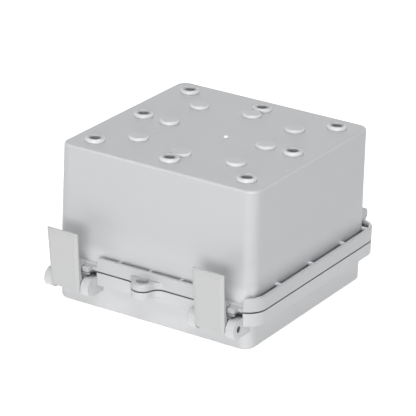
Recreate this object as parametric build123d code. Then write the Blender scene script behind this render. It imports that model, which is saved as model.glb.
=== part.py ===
from build123d import *
import math
import os

# A hinged junction box, lying on its lid with its back upwards.
# The origin is the middle of the lid's outer face, +Z is up and the latches face -Y.
# Every size is in millimetres. A step is a distance out of the face that is named before it.

# Housing: the deep half, open downwards
BACK_HALF = 81.7
PARTING_Z = 33.2
HOUSING_DEPTH = 87.6
DRAFT = 0.6
WALL = 3.5
BACK_WALL = 4.0
CORNER_RADIUS = 9.5
BACK_EDGE_RADIUS = 2.0
INNER_EDGE_RADIUS = 1.5

# Flange and upturned lip round the housing
FLANGE_STEP = 8.3
FLANGE_RADIUS = 16.0
FLANGE_PLATE = 3.2
LIP_HEIGHT = 10.4
LIP_WALL = 2.5
LIP_EDGE_RADIUS = 0.8
LIP_END_RADIUS = 2.8
WEB_WALL = 1.8
WEB_DROP = 0.9
SIDE_WEB_PITCH = 46.0
SIDE_WEB_SHIFT = -3.0
CORNER_WEB_INSET = 13.0
FRONT_WEB_PITCH = 26.0

# Seal between the halves
PARTING_GAP = 0.7
TONGUE_WALL = 2.0
TONGUE_INSET = 0.6
TONGUE_DEPTH = 1.5
GROOVE_CLEARANCE = 1.0
GROOVE_WALL = 1.6
GROOVE_FLOOR = 2.5
GASKET_HEIGHT = 3.6
GASKET_SIDE_CLEARANCE = 0.2
SEAL_CLEARANCE = 0.3

# Lid: the shallow half
LID_STEP = 0.3
LID_WALL = 4.0
LID_FACE = 3.5
LID_CORNER_RADIUS = 9.0
LID_EDGE_RADIUS = 3.0
SKIRT_HEIGHT = 9.8
LID_PLATE = 3.0

# Bosses on the back, for screws into mounting feet
BOSS_PITCH = 127.0
BOSS_RADIUS = 7.5
BOSS_HEIGHT = 2.8
BOSS_EDGE_RADIUS = 2.3
BOSS_HOLE_RADIUS = 4.0
BOSS_HOLE_DEPTH = 10.0
BOSS_SINK = 1.0
BOSS_POST_WALL = 3.2
BOSS_POST_FLOOR = 3.0

# Shallow square recess in the middle of the back
RECESS_HALF = 36.0
RECESS_RADIUS = 4.0
RECESS_DEPTH = 0.2
RECESS_SLOPE = 1.2

# Standoffs for an inner panel, and the round pads behind them
PANEL_PITCH = 82.0
PANEL_LINE_Y = 97.0
PAD_RADIUS = 7.6
PAD_HEIGHT = 2.4
PAD_EDGE_RADIUS = 2.2
STANDOFF_RADIUS = 6.0
STANDOFF_HEIGHT = 12.0
INSERT_RADIUS = 3.2
INSERT_LENGTH = 9.5
INSERT_THREAD_RADIUS = 2.1
INSERT_GROOVE_DEPTH = 0.4
INSERT_GROOVE_WIDTH = 1.9
INSERT_CLEARANCE = 0.03
GATE_X = 8.6
GATE_Y = -1.3
GATE_RADIUS = 2.1
GATE_HEIGHT = 1.4
GATE_EDGE_RADIUS = 1.1

# Pins, shared by the hinges and the latches
PIN_RADIUS = 2.5
PIN_SEAT_CLEARANCE = 0.03
PIN_RUNNING_CLEARANCE = 0.07
PIN_END_WALL = 1.4
PIN_END_GAP = 0.2
PIN_CHAMFER = 0.4
SIDE_CLEARANCE = 0.3

# Latch: its middle from the flange's side, and its plate and ears
LATCH_INSET = 29.0
LATCH_TOP_WIDTH = 26.0
LATCH_FOOT_WIDTH = 24.2
LATCH_EAR_WALL = 6.8
LATCH_PIN_RECESS = 3.6

# Latch: pivot between two ears of the lid, plate, and hook over the keeper
LATCH_PIN_STEP = 4.2
LATCH_PIN_DROP = 10.8
LATCH_EAR_RADIUS = 7.1
LATCH_KNUCKLE_RADIUS = 5.2
LATCH_LEAN = 7.0
LATCH_FOOT_STEP = 8.0
LATCH_FOOT_DROP = 2.4
LATCH_LENGTH = 46.0
LATCH_PLATE = 2.2
LATCH_BEVEL_WIDTH = 2.8
LATCH_BEVEL_DEPTH = 0.9
LATCH_RIB_WALL = 2.2
LATCH_RIB_DEPTH = 2.4
HOOK_WALL = 3.2
HOOK_REACH = 3.0
HOOK_CLEARANCE = 0.35
NOTCH_HALF = 18.8

# Keeper: the ledge that the hook catches, with a deeper bead along its front
KEEPER_STEP = 6.0
KEEPER_RISE = 3.9
KEEPER_DROP = 1.7
KEEPER_BEAD = 2.6
KEEPER_HALF = 15.5
KEEPER_EDGE_RADIUS = 1.0

# Hinge: its middle from the flange's side, and its knuckles beside the lip
HINGE_INSET = 35.0
HINGE_STEP = 6.1
HINGE_RISE = 10.3
HINGE_WIDTH = 26.0
HINGE_EAR_WALL = 4.7
HINGE_PIN_RECESS = 1.5
KNUCKLE_RADIUS = 5.5
HINGE_ARM = 4.6

# Padlock tabs in the middle of the latch side
HASP_STEP = 4.6
HASP_NOSE_RADIUS = 8.0
HASP_FLANK_RADIUS = 8.0
HASP_HOLE_RADIUS = 4.5
HASP_RISE = 5.2
HASP_DROP = 6.6
HASP_EDGE_RADIUS = 1.4

# How far joined forms reach into each other
OVERLAP = 1.0

FLANGE_HALF = BACK_HALF + FLANGE_STEP
LID_HALF = BACK_HALF + LID_STEP
BACK_Z = PARTING_Z + HOUSING_DEPTH
LIP_TOP_Z = PARTING_Z + LIP_HEIGHT
LID_TOP_Z = PARTING_Z - PARTING_GAP
LID_SKIRT_Z = LID_TOP_Z - SKIRT_HEIGHT
LIP_INNER_HALF = FLANGE_HALF - LIP_WALL
LIP_INNER_RADIUS = FLANGE_RADIUS - LIP_WALL
FLANGE_TOP_Z = PARTING_Z + FLANGE_PLATE
RIM_HALF = BACK_HALF + (BACK_Z - PARTING_Z) * math.tan(math.radians(DRAFT))
CEILING_Z = BACK_Z - BACK_WALL
TONGUE_OUTER = RIM_HALF - TONGUE_INSET
TONGUE_INNER = TONGUE_OUTER - TONGUE_WALL
GROOVE_INNER = TONGUE_INNER - GROOVE_CLEARANCE
GROOVE_OUTER = TONGUE_OUTER + GROOVE_CLEARANCE
TONGUE_Z = PARTING_Z - TONGUE_DEPTH
GASKET_TOP_Z = TONGUE_Z - SEAL_CLEARANCE
GROOVE_Z = GASKET_TOP_Z - GASKET_HEIGHT
CORNER_WEB_Y = FLANGE_HALF - CORNER_WEB_INSET
SIDE_WEBS_Y = (*(SIDE_WEB_SHIFT + step * SIDE_WEB_PITCH for step in (-1, 0, 1)), CORNER_WEB_Y)
LATCHES = {"left": LATCH_INSET - FLANGE_HALF, "right": FLANGE_HALF - LATCH_INSET}
HINGES = {"left": HINGE_INSET - FLANGE_HALF, "right": FLANGE_HALF - HINGE_INSET}
LATCH_GAP_HALF = LATCH_FOOT_WIDTH / 2 + SIDE_CLEARANCE
LATCH_OUTER_HALF = LATCH_GAP_HALF + LATCH_EAR_WALL
HINGE_GAP_HALF = HINGE_WIDTH / 2 + SIDE_CLEARANCE
HINGE_OUTER_HALF = HINGE_GAP_HALF + HINGE_EAR_WALL
LATCH_PIN_Y = -FLANGE_HALF - LATCH_PIN_STEP
LATCH_PIN_Z = PARTING_Z - LATCH_PIN_DROP
LATCH_PIN = (LATCH_PIN_Y, LATCH_PIN_Z)
LATCH_FOOT_Y = LATCH_PIN_Y - LATCH_FOOT_STEP
LATCH_FOOT_Z = LATCH_PIN_Z - LATCH_FOOT_DROP
KEEPER_Y = -FLANGE_HALF - KEEPER_STEP
KEEPER_TOP_Z = PARTING_Z + KEEPER_RISE
KEEPER_BOTTOM_Z = PARTING_Z - KEEPER_DROP
HINGE_Y = FLANGE_HALF + HINGE_STEP
HINGE_Z = PARTING_Z + HINGE_RISE
HINGE_PIN = (HINGE_Y, HINGE_Z)
HASP_Y = -FLANGE_HALF - HASP_STEP
HASP_TOP_Z = PARTING_Z + HASP_RISE
HASP_BOTTOM_Z = PARTING_Z - HASP_DROP


def square_block(half, radius, z_low, z_high):
    """Upright block on a square with rounded corners."""
    outline = Plane.XY.offset(z_low) * RectangleRounded(2 * half, 2 * half, radius)
    return extrude(outline, z_high - z_low)


def square_ring(outer_half, inner_half, radius, z_low, z_high):
    """Upright wall round a square with rounded corners."""
    inner_radius = max(radius - (outer_half - inner_half), 0.5)
    outer = square_block(outer_half, radius, z_low, z_high)
    return outer - square_block(inner_half, inner_radius, z_low, z_high)


def drafted_block(half, radius, z_wide, z_narrow):
    """Block with moulding draft, widest at z_wide and narrower towards z_narrow."""
    outline = Plane.XY.offset(z_wide) * RectangleRounded(2 * half, 2 * half, radius)
    rise = z_narrow - z_wide
    direction = (0, 0, math.copysign(1, rise))
    return extrude(outline, abs(rise), dir=direction, taper=DRAFT)


def slab(x_low, x_high, y_low, y_high, z_low, z_high):
    """Plain rectangular block between two corners."""
    block = Box(x_high - x_low, y_high - y_low, z_high - z_low, align=(Align.MIN,) * 3)
    return Pos(x_low, y_low, z_low) * block


def along_x(profile, x_low, x_high):
    """Profile drawn in Y and Z, stretched along X."""
    return extrude(Plane.YZ.offset(x_low) * profile, x_high - x_low, dir=(1, 0, 0))


def disc(radius, height, edge_radius):
    """Round pad with a rounded upper edge, standing on z = 0."""
    pad = Cylinder(radius, height, align=(Align.CENTER, Align.CENTER, Align.MIN))
    return fillet(pad.edges().group_by(Axis.Z)[-1], edge_radius)


def tangent_point(centre, radius, outside, side):
    """Point where a line from outside touches a circle, on side +1 or -1."""
    away_y = outside[0] - centre[0]
    away_z = outside[1] - centre[1]
    turn = math.acos(radius / math.hypot(away_y, away_z))
    angle = math.atan2(away_z, away_y) + side * turn
    return (centre[0] + radius * math.cos(angle), centre[1] + radius * math.sin(angle))


def lug(centre, radius, upper, lower, side):
    """Round end on a flared arm that starts from the points upper and lower."""
    touch_upper = tangent_point(centre, radius, upper, side)
    touch_lower = tangent_point(centre, radius, lower, -side)
    arm = Polygon(upper, touch_upper, centre, touch_lower, lower, align=None)
    return arm + Pos(*centre) * Circle(radius)


def across_ears(station, gap_half, outer_half):
    """The two ears beside a gap, each as a low and high X."""
    for side in (-1, 1):
        ends = (station + side * gap_half, station + side * outer_half)
        yield min(ends), max(ends)


def pin_bore(centre, clearance, x_low, x_high):
    """Cutter for the hole of a pin along X."""
    return along_x(Pos(*centre) * Circle(PIN_RADIUS + clearance), x_low, x_high)


def blind_span(station, outer_half, open_side, recess, end_wall):
    """Low and high X between the ear on the open side and the closed end in the other ear."""
    ends = (station + open_side * (outer_half - recess), station - open_side * (outer_half - end_wall))
    return min(ends), max(ends)


def pin_hole(centre, station, outer_half, open_side):
    """Cutter for the seat of a pin: through one ear and blind in the other."""
    span = blind_span(station, outer_half, open_side, 0, PIN_END_WALL)
    return pin_bore(centre, PIN_SEAT_CLEARANCE, *span)


def pin(centre, station, outer_half, open_side, recess):
    """Plain steel pin with chamfered ends, sunk below the open face of its seat."""
    span = blind_span(station, outer_half, open_side, recess, PIN_END_WALL + PIN_END_GAP)
    rod = along_x(Pos(*centre) * Circle(PIN_RADIUS), *span)
    return chamfer(rod.edges().filter_by(GeomType.CIRCLE), PIN_CHAMFER)


def outward(station):
    """Side of a station that faces away from the middle of the box, +1 or -1."""
    return math.copysign(1, station)


def boss_places():
    """Corners and middles of the square of bosses on the back."""
    half = BOSS_PITCH / 2
    steps = (-half, 0, half)
    return [(x, y) for x in steps for y in steps if (x, y) != (0, 0)]


def standoff_places():
    """Places of the panel standoffs: four corners, two at the sides, two front and rear."""
    half = PANEL_PITCH / 2
    corners = [(x, y) for x in (-half, half) for y in (-half, half)]
    sides = [(-half, 0), (half, 0)]
    ends = [(0, -PANEL_LINE_Y / 2), (0, PANEL_LINE_Y / 2)]
    return corners + sides + ends


def arc_about(centre, start, end):
    """Short arc round a centre from start to end."""
    middle_x = (start[0] + end[0]) / 2 - centre[0]
    middle_y = (start[1] + end[1]) / 2 - centre[1]
    radius = math.dist(centre, start)
    scale = radius / math.hypot(middle_x, middle_y)
    middle = (centre[0] + scale * middle_x, centre[1] + scale * middle_y)
    return ThreePointArc(start, middle, end)


def hasp_tab(z_low, z_high, outer_end):
    """Padlock tab: a round nose that flows into the flange, its edge rounded at end 0 or -1."""
    flank_y = -FLANGE_HALF - HASP_FLANK_RADIUS
    reach = HASP_NOSE_RADIUS + HASP_FLANK_RADIUS
    flank_x = math.sqrt(reach**2 - (flank_y - HASP_Y) ** 2)
    share = HASP_NOSE_RADIUS / reach
    touch_x = share * flank_x
    touch_y = HASP_Y + share * (flank_y - HASP_Y)
    inner_y = -LIP_INNER_HALF
    outline = [
        arc_about((-flank_x, flank_y), (-flank_x, -FLANGE_HALF), (-touch_x, touch_y)),
        ThreePointArc((-touch_x, touch_y), (0, HASP_Y - HASP_NOSE_RADIUS), (touch_x, touch_y)),
        arc_about((flank_x, flank_y), (touch_x, touch_y), (flank_x, -FLANGE_HALF)),
        Line((flank_x, -FLANGE_HALF), (flank_x, inner_y)),
        Line((flank_x, inner_y), (-flank_x, inner_y)),
        Line((-flank_x, inner_y), (-flank_x, -FLANGE_HALF)),
    ]
    face = make_face(Plane.XY.offset(z_low) * Curve(outline))
    tab = extrude(face, z_high - z_low, dir=(0, 0, 1))
    rim = tab.edges().group_by(Axis.Z)[outer_end].filter_by(GeomType.CIRCLE)
    return fillet(rim, HASP_EDGE_RADIUS)


def hasp_hole():
    """Cutter for the shackle hole through both tabs."""
    height = HASP_TOP_Z - HASP_BOTTOM_Z
    bore = Cylinder(HASP_HOLE_RADIUS, 2 * height)
    return Pos(0, HASP_Y, (HASP_TOP_Z + HASP_BOTTOM_Z) / 2) * bore


def housing_shell():
    """Deep drafted tub with rounded back edges."""
    outer = drafted_block(RIM_HALF, CORNER_RADIUS, PARTING_Z, BACK_Z)
    return fillet(outer.edges().group_by(Axis.Z)[-1], BACK_EDGE_RADIUS)


def housing_cavity():
    """Inside of the tub."""
    inner_radius = CORNER_RADIUS - WALL
    cavity = drafted_block(RIM_HALF - WALL, inner_radius, PARTING_Z, CEILING_Z)
    cavity = fillet(cavity.edges().group_by(Axis.Z)[-1], INNER_EDGE_RADIUS)
    mouth = square_block(RIM_HALF - WALL, inner_radius, TONGUE_Z - OVERLAP, PARTING_Z)
    return cavity + mouth


def housing_flange():
    """Flange plate with its upturned lip, and the webs in the channel behind the lip."""
    block = square_block(FLANGE_HALF, FLANGE_RADIUS, PARTING_Z, LIP_TOP_Z)
    block = fillet(block.edges().group_by(Axis.Z)[-1], LIP_EDGE_RADIUS)
    block -= square_block(LIP_INNER_HALF, LIP_INNER_RADIUS, FLANGE_TOP_Z, LIP_TOP_Z)
    for station in LATCHES.values():
        block -= latch_notch(station)
    web_top = LIP_TOP_Z - WEB_DROP
    inner, outer = RIM_HALF - WALL / 2, LIP_INNER_HALF + LIP_WALL / 2
    half = WEB_WALL / 2
    for y in SIDE_WEBS_Y:
        for low, high in ((inner, outer), (-outer, -inner)):
            block += slab(low, high, y - half, y + half, FLANGE_TOP_Z, web_top)
    for x in (-FRONT_WEB_PITCH, 0, FRONT_WEB_PITCH):
        block += slab(x - half, x + half, -outer, -inner, FLANGE_TOP_Z, web_top)
    reach = HINGE_GAP_HALF + HINGE_EAR_WALL / 2
    for x in (0, *(hinge + side * reach for hinge in HINGES.values() for side in (-1, 1))):
        block += slab(x - half, x + half, inner, outer, FLANGE_TOP_Z, web_top)
    return block


def latch_notch(station):
    """Cutter that opens the lip where a latch passes, with rounded upper corners."""
    low, high = station - NOTCH_HALF, station + NOTCH_HALF
    r = LIP_END_RADIUS
    width, height = high - low, LIP_TOP_Z - FLANGE_TOP_Z
    opening = Pos(station, FLANGE_TOP_Z + height / 2) * Rectangle(width, height)
    for side in (-1, 1):
        end = station + side * NOTCH_HALF
        corner = Pos(end + side * r / 2, LIP_TOP_Z - r / 2) * Rectangle(r, r)
        opening += corner - Pos(end + side * r, LIP_TOP_Z - r) * Circle(r)
    depth = FLANGE_HALF - RIM_HALF + LIP_WALL
    return extrude(Plane.XZ.offset(RIM_HALF) * opening, depth, dir=(0, -1, 0))


def keeper(station):
    """Ledge across the notch with a deeper rounded bead along its front, for the latch hook."""
    ledge = slab(
        station - NOTCH_HALF,
        station + NOTCH_HALF,
        -FLANGE_HALF,
        -RIM_HALF,
        PARTING_Z,
        FLANGE_TOP_Z,
    )
    bead_y = KEEPER_Y + KEEPER_BEAD
    middle_z = (KEEPER_TOP_Z + KEEPER_BOTTOM_Z) / 2
    bead = Pos(KEEPER_Y + KEEPER_BEAD / 2, middle_z) * RectangleRounded(
        KEEPER_BEAD,
        KEEPER_TOP_Z - KEEPER_BOTTOM_Z,
        KEEPER_EDGE_RADIUS,
    )
    shelf = Polygon(
        (bead_y - KEEPER_EDGE_RADIUS, PARTING_Z),
        (OVERLAP - FLANGE_HALF, PARTING_Z),
        (OVERLAP - FLANGE_HALF, FLANGE_TOP_Z),
        (bead_y - KEEPER_EDGE_RADIUS, FLANGE_TOP_Z),
        align=None,
    )
    return ledge + along_x(bead + shelf, station - KEEPER_HALF, station + KEEPER_HALF)


def hinge_ears(station):
    """Two round ears beside the lip that hold a hinge pin."""
    upper = (LIP_INNER_HALF, LIP_TOP_Z - OVERLAP)
    lower = (LIP_INNER_HALF, PARTING_Z + OVERLAP)
    profile = lug(HINGE_PIN, KNUCKLE_RADIUS, upper, lower, -1)
    ears = Part()
    for low, high in across_ears(station, HINGE_GAP_HALF, HINGE_OUTER_HALF):
        ears += along_x(profile, low, high)
    return ears - pin_hole(HINGE_PIN, station, HINGE_OUTER_HALF, -outward(station))


def standoff():
    """Post that hangs from the ceiling of the tub at z = 0."""
    return Cylinder(STANDOFF_RADIUS, STANDOFF_HEIGHT, align=(Align.CENTER, Align.CENTER, Align.MAX))


def insert_bore():
    """Cutter for the blind bore of an insert, from the tip of a standoff."""
    bore_radius = INSERT_RADIUS + INSERT_CLEARANCE
    bore = Cylinder(bore_radius, INSERT_LENGTH, align=(Align.CENTER, Align.CENTER, Align.MIN))
    return Pos(0, 0, -STANDOFF_HEIGHT) * bore


def back_recess():
    """Cutter for the shallow square in the back, with sloping sides."""
    sections = []
    for side, slope in ((-1, 0), (1, 2 * RECESS_SLOPE)):
        width = 2 * (RECESS_HALF + slope)
        outline = RectangleRounded(width, width, RECESS_RADIUS + slope)
        sections.append(Plane.XY.offset(BACK_Z + side * RECESS_DEPTH) * outline)
    return loft(sections, ruled=True)


def housing():
    """Tub with flange, keepers, hinge ears, padlock tab, bosses and standoffs."""
    body = housing_shell() + housing_flange()
    body += square_ring(TONGUE_OUTER, TONGUE_INNER, CORNER_RADIUS, TONGUE_Z, PARTING_Z)
    for station in LATCHES.values():
        body += keeper(station)
    for station in HINGES.values():
        body += hinge_ears(station)
    body += hasp_tab(PARTING_Z, HASP_TOP_Z, -1)
    body -= hasp_hole()
    body -= housing_cavity()
    recess_z = BACK_Z - RECESS_DEPTH
    body -= back_recess()
    pad = disc(PAD_RADIUS, RECESS_DEPTH + PAD_HEIGHT, PAD_EDGE_RADIUS)
    boss = disc(BOSS_RADIUS, BOSS_HEIGHT, BOSS_EDGE_RADIUS)
    boss_floor_z = BACK_Z + BOSS_HEIGHT - BOSS_HOLE_DEPTH
    post_length = CEILING_Z - boss_floor_z + BOSS_POST_FLOOR
    post_radius = BOSS_HOLE_RADIUS + BOSS_POST_WALL
    post = Cylinder(post_radius, post_length, align=(Align.CENTER, Align.CENTER, Align.MAX))
    hole = Cylinder(BOSS_HOLE_RADIUS, BOSS_HOLE_DEPTH, align=(Align.CENTER, Align.CENTER, Align.MIN))
    mouth = Cone(BOSS_HOLE_RADIUS, BOSS_HOLE_RADIUS + BOSS_SINK, BOSS_SINK)
    hole += Pos(0, 0, BOSS_HOLE_DEPTH - BOSS_SINK / 2) * mouth
    for x, y in boss_places():
        body += Pos(x, y, BACK_Z) * boss + Pos(x, y, CEILING_Z) * post
        body -= Pos(x, y, boss_floor_z) * hole
    for x, y in standoff_places():
        body += Pos(x, y, recess_z) * pad + Pos(x, y, CEILING_Z) * standoff()
        body -= Pos(x, y, CEILING_Z) * insert_bore()
    body += Pos(GATE_X, GATE_Y, recess_z) * disc(GATE_RADIUS, GATE_HEIGHT, GATE_EDGE_RADIUS)
    return body


def latch_ears(station):
    """Two round ears low on the lid that hold a latch pin."""
    wall_y = -LID_HALF + LID_WALL / 2
    upper = (wall_y, LATCH_PIN_Z + LATCH_EAR_RADIUS)
    lower = (wall_y, LATCH_PIN_Z - LATCH_EAR_RADIUS)
    profile = lug(LATCH_PIN, LATCH_EAR_RADIUS, upper, lower, 1)
    ears = Part()
    for low, high in across_ears(station, LATCH_GAP_HALF, LATCH_OUTER_HALF):
        ears += along_x(profile, low, high)
    return ears


def hinge_arm(station):
    """Arm that rises from the lid's flange to its knuckle between two hinge ears."""
    outer_y = HINGE_Y + KNUCKLE_RADIUS
    arm = Polygon(
        (LIP_INNER_HALF, LID_SKIRT_Z),
        (outer_y - HINGE_ARM, LID_SKIRT_Z),
        (outer_y, LID_SKIRT_Z + HINGE_ARM),
        (outer_y, HINGE_Z),
        (outer_y - HINGE_ARM, HINGE_Z),
        (outer_y - HINGE_ARM, LID_TOP_Z),
        (LIP_INNER_HALF, LID_TOP_Z),
        align=None,
    )
    profile = arm + Pos(*HINGE_PIN) * Circle(KNUCKLE_RADIUS)
    low, high = station - HINGE_WIDTH / 2, station + HINGE_WIDTH / 2
    return along_x(profile, low, high) - pin_bore(HINGE_PIN, PIN_RUNNING_CLEARANCE, low, high)


def lid():
    """Shallow cover with skirt, gasket groove, latch ears, hinge arms and padlock tab."""
    rim_outer = GROOVE_OUTER + GROOVE_WALL
    rim_radius = CORNER_RADIUS + GROOVE_WALL
    body = drafted_block(LID_HALF, LID_CORNER_RADIUS, LID_TOP_Z, 0)
    body = fillet(body.edges().group_by(Axis.Z)[0], LID_EDGE_RADIUS)
    body += square_block(rim_outer, rim_radius, GROOVE_Z - GROOVE_FLOOR, LID_TOP_Z)
    body += square_block(FLANGE_HALF, FLANGE_RADIUS, LID_TOP_Z - LID_PLATE, LID_TOP_Z)
    body += square_ring(FLANGE_HALF, LIP_INNER_HALF, FLANGE_RADIUS, LID_SKIRT_Z, LID_TOP_Z)
    for station in LATCHES.values():
        low, high = station - NOTCH_HALF, station + NOTCH_HALF
        body -= slab(low, high, -FLANGE_HALF - OVERLAP, -rim_outer, LID_SKIRT_Z, LID_TOP_Z)
        body += latch_ears(station)
    for station in HINGES.values():
        body += hinge_arm(station)
    body += hasp_tab(HASP_BOTTOM_Z, LID_TOP_Z, 0)
    body -= hasp_hole()
    for station in LATCHES.values():
        body -= pin_hole(LATCH_PIN, station, LATCH_OUTER_HALF, outward(station))
    body -= lid_cavity()
    body -= gasket_ring(GROOVE_Z, LID_TOP_Z, 0)
    return body


def lid_cavity():
    """Inside of the lid."""
    inner = LID_HALF - LID_WALL
    cavity = drafted_block(inner, LID_CORNER_RADIUS - LID_WALL, LID_TOP_Z, LID_FACE)
    return fillet(cavity.edges().group_by(Axis.Z)[0], INNER_EDGE_RADIUS)


def gasket_ring(z_low, z_high, clearance):
    """Square ring that fills the groove apart from a side clearance."""
    outer, inner = GROOVE_OUTER - clearance, GROOVE_INNER + clearance
    return square_ring(outer, inner, CORNER_RADIUS, z_low, z_high)


def gasket():
    """Moulded seal that lies in the lid's groove."""
    return gasket_ring(GROOVE_Z, GASKET_TOP_Z, GASKET_SIDE_CLEARANCE)


def latch_plane():
    """Plane of the latch plate's front face, with its origin at the foot."""
    lean = math.radians(LATCH_LEAN)
    normal = (0, -math.cos(lean), -math.sin(lean))
    return Plane(origin=(0, LATCH_FOOT_Y, LATCH_FOOT_Z), x_dir=(1, 0, 0), z_dir=normal)


def latch_outline(inset, top_inset):
    """Front outline of the plate, wider towards the top."""
    foot, top = LATCH_FOOT_WIDTH / 2 - inset, LATCH_TOP_WIDTH / 2 - inset
    length = LATCH_LENGTH - top_inset
    return Polygon((-foot, 0), (foot, 0), (top, length), (-top, length), align=None)


def latch_plate():
    """Leaning plate whose front face falls away in a bevel at the top and the sides."""
    front = latch_plane()
    bevel_base = front.offset(-LATCH_BEVEL_DEPTH)
    flat = front * latch_outline(LATCH_BEVEL_WIDTH, LATCH_BEVEL_WIDTH)
    broad = bevel_base * latch_outline(0, 0)
    crown = loft([broad, flat], ruled=True)
    slab_depth = LATCH_PLATE - LATCH_BEVEL_DEPTH
    return crown + extrude(broad, slab_depth, dir=-front.z_dir)


def plate_back_y(z):
    """Y of the plate's rear face at height z."""
    lean = math.radians(LATCH_LEAN)
    return LATCH_FOOT_Y + LATCH_PLATE / math.cos(lean) - (z - LATCH_FOOT_Z) * math.tan(lean)


def latch_claw():
    """Side profile of the hook above the keeper and the stop in front of it."""
    reach_y = LATCH_PIN_Y + HOOK_REACH
    bead_radius = math.hypot(KEEPER_Y - LATCH_PIN_Y, KEEPER_TOP_Z - LATCH_PIN_Z)
    swing = bead_radius + HOOK_CLEARANCE
    hook_top = LATCH_PIN_Z + swing + HOOK_WALL
    stop_y = KEEPER_Y - HOOK_CLEARANCE
    claw_low = PARTING_Z
    back = LATCH_PLATE / 2
    hook = Polygon(
        (plate_back_y(claw_low) - back, claw_low),
        (stop_y, claw_low),
        (stop_y, KEEPER_TOP_Z - KEEPER_EDGE_RADIUS),
        (reach_y, KEEPER_TOP_Z - KEEPER_EDGE_RADIUS),
        (reach_y, hook_top - HOOK_WALL / 2),
        (reach_y - HOOK_WALL / 2, hook_top),
        (plate_back_y(hook_top + HOOK_WALL), hook_top + HOOK_WALL),
        (plate_back_y(hook_top + HOOK_WALL) - back, hook_top + HOOK_WALL),
        align=None,
    )
    path = Pos(*LATCH_PIN) * Circle(swing)
    stop = Polygon(
        (plate_back_y(claw_low) - back, claw_low),
        (stop_y, claw_low),
        (stop_y, KEEPER_TOP_Z),
        (plate_back_y(KEEPER_TOP_Z) - back, hook_top),
        align=None,
    )
    return (hook - path) + stop


def latch():
    """Latch at x = 0: knuckle, plate, side ribs and claw in one moulding."""
    half = LATCH_FOOT_WIDTH / 2
    foot_back = plate_back_y(LATCH_FOOT_Z)
    waist_z = LATCH_PIN_Z + LATCH_KNUCKLE_RADIUS
    neck = Polygon(
        (LATCH_PIN_Y, waist_z),
        (LATCH_PIN_Y, LATCH_PIN_Z),
        (foot_back, LATCH_FOOT_Z),
        (plate_back_y(waist_z), waist_z),
        align=None,
    )
    knuckle = neck + Pos(*LATCH_PIN) * Circle(LATCH_KNUCKLE_RADIUS)
    body = latch_plate() + along_x(knuckle, -half, half)
    body += along_x(latch_claw(), LATCH_RIB_WALL - half, half - LATCH_RIB_WALL)
    rib_low = waist_z - OVERLAP
    rib_high = LATCH_FOOT_Z + LATCH_LENGTH - LATCH_BEVEL_WIDTH
    rib = Polygon(
        (plate_back_y(rib_low) - LATCH_PLATE / 2, rib_low),
        (plate_back_y(rib_low) + LATCH_RIB_DEPTH, rib_low),
        (plate_back_y(rib_high), rib_high),
        (plate_back_y(rib_high) - LATCH_PLATE / 2, rib_high),
        align=None,
    )
    for low, high in ((-half, LATCH_RIB_WALL - half), (half - LATCH_RIB_WALL, half)):
        body += along_x(rib, low, high)
    return body - pin_bore(LATCH_PIN, PIN_RUNNING_CLEARANCE, -half, half)


def threaded_insert():
    """Brass insert with a groove round its middle, its lower end at z = 0."""
    body = Cylinder(INSERT_RADIUS, INSERT_LENGTH, align=(Align.CENTER, Align.CENTER, Align.MIN))
    waist = Cylinder(INSERT_RADIUS, INSERT_GROOVE_WIDTH)
    waist -= Cylinder(INSERT_RADIUS - INSERT_GROOVE_DEPTH, INSERT_GROOVE_WIDTH)
    body -= Pos(0, 0, INSERT_LENGTH / 2) * waist
    return body - Pos(0, 0, INSERT_LENGTH / 2) * Cylinder(INSERT_THREAD_RADIUS, INSERT_LENGTH)


def pieces():
    """Every separate piece of the box by name."""
    found = {"housing": housing(), "lid": lid(), "gasket": gasket()}
    for side, station in LATCHES.items():
        found[f"latch_{side}"] = Pos(station, 0, 0) * latch()
        open_side = outward(station)
        found[f"latch_pin_{side}"] = pin(
            LATCH_PIN, station, LATCH_OUTER_HALF, open_side, LATCH_PIN_RECESS
        )
        found[f"hinge_pin_{side}"] = pin(
            HINGE_PIN, HINGES[side], HINGE_OUTER_HALF, -open_side, HINGE_PIN_RECESS
        )
    for number, (x, y) in enumerate(standoff_places(), start=1):
        place = Pos(x, y, CEILING_Z - STANDOFF_HEIGHT)
        found[f"panel_insert_{number}"] = place * threaded_insert()
    return found


os.makedirs("parts", exist_ok=True)
for name, piece in pieces().items():
    export_step(piece, f"parts/{name}.step")
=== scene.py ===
"""Looks of a hinged junction box that lies on its lid, back upwards, seen past its latches."""
import logging
import math
from dataclasses import dataclass
from enum import Enum
from typing import Any, Iterable, Iterator

import bmesh
import bpy
from mathutils import Matrix, Vector


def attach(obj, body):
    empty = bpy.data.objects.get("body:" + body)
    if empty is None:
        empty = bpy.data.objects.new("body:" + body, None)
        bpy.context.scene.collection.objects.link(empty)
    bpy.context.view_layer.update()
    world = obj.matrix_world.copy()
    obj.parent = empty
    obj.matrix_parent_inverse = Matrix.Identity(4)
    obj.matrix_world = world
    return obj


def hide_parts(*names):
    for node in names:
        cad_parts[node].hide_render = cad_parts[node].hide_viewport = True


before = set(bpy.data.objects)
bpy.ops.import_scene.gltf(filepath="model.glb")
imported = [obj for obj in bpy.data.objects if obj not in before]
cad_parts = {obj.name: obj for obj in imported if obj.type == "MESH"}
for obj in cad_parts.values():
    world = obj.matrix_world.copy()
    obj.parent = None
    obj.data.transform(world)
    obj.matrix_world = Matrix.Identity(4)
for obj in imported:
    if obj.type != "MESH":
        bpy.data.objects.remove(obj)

LOG = logging.getLogger("junction_box")
MM = 0.001
WHITE = (1.0, 1.0, 1.0, 1.0)

Colour = tuple[float, float, float]
Place = tuple[float, float, float]
# Two ends of a range: for a smooth step, the value that gives 0 and the one that gives 1.
Span = tuple[float, float]


class Moulding(str, Enum):
    """Mouldings of the box. Each is a CAD node and the moving body of the same name."""

    HOUSING = "housing"
    LID = "lid"
    LATCH_LEFT = "latch_left"
    LATCH_RIGHT = "latch_right"


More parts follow.
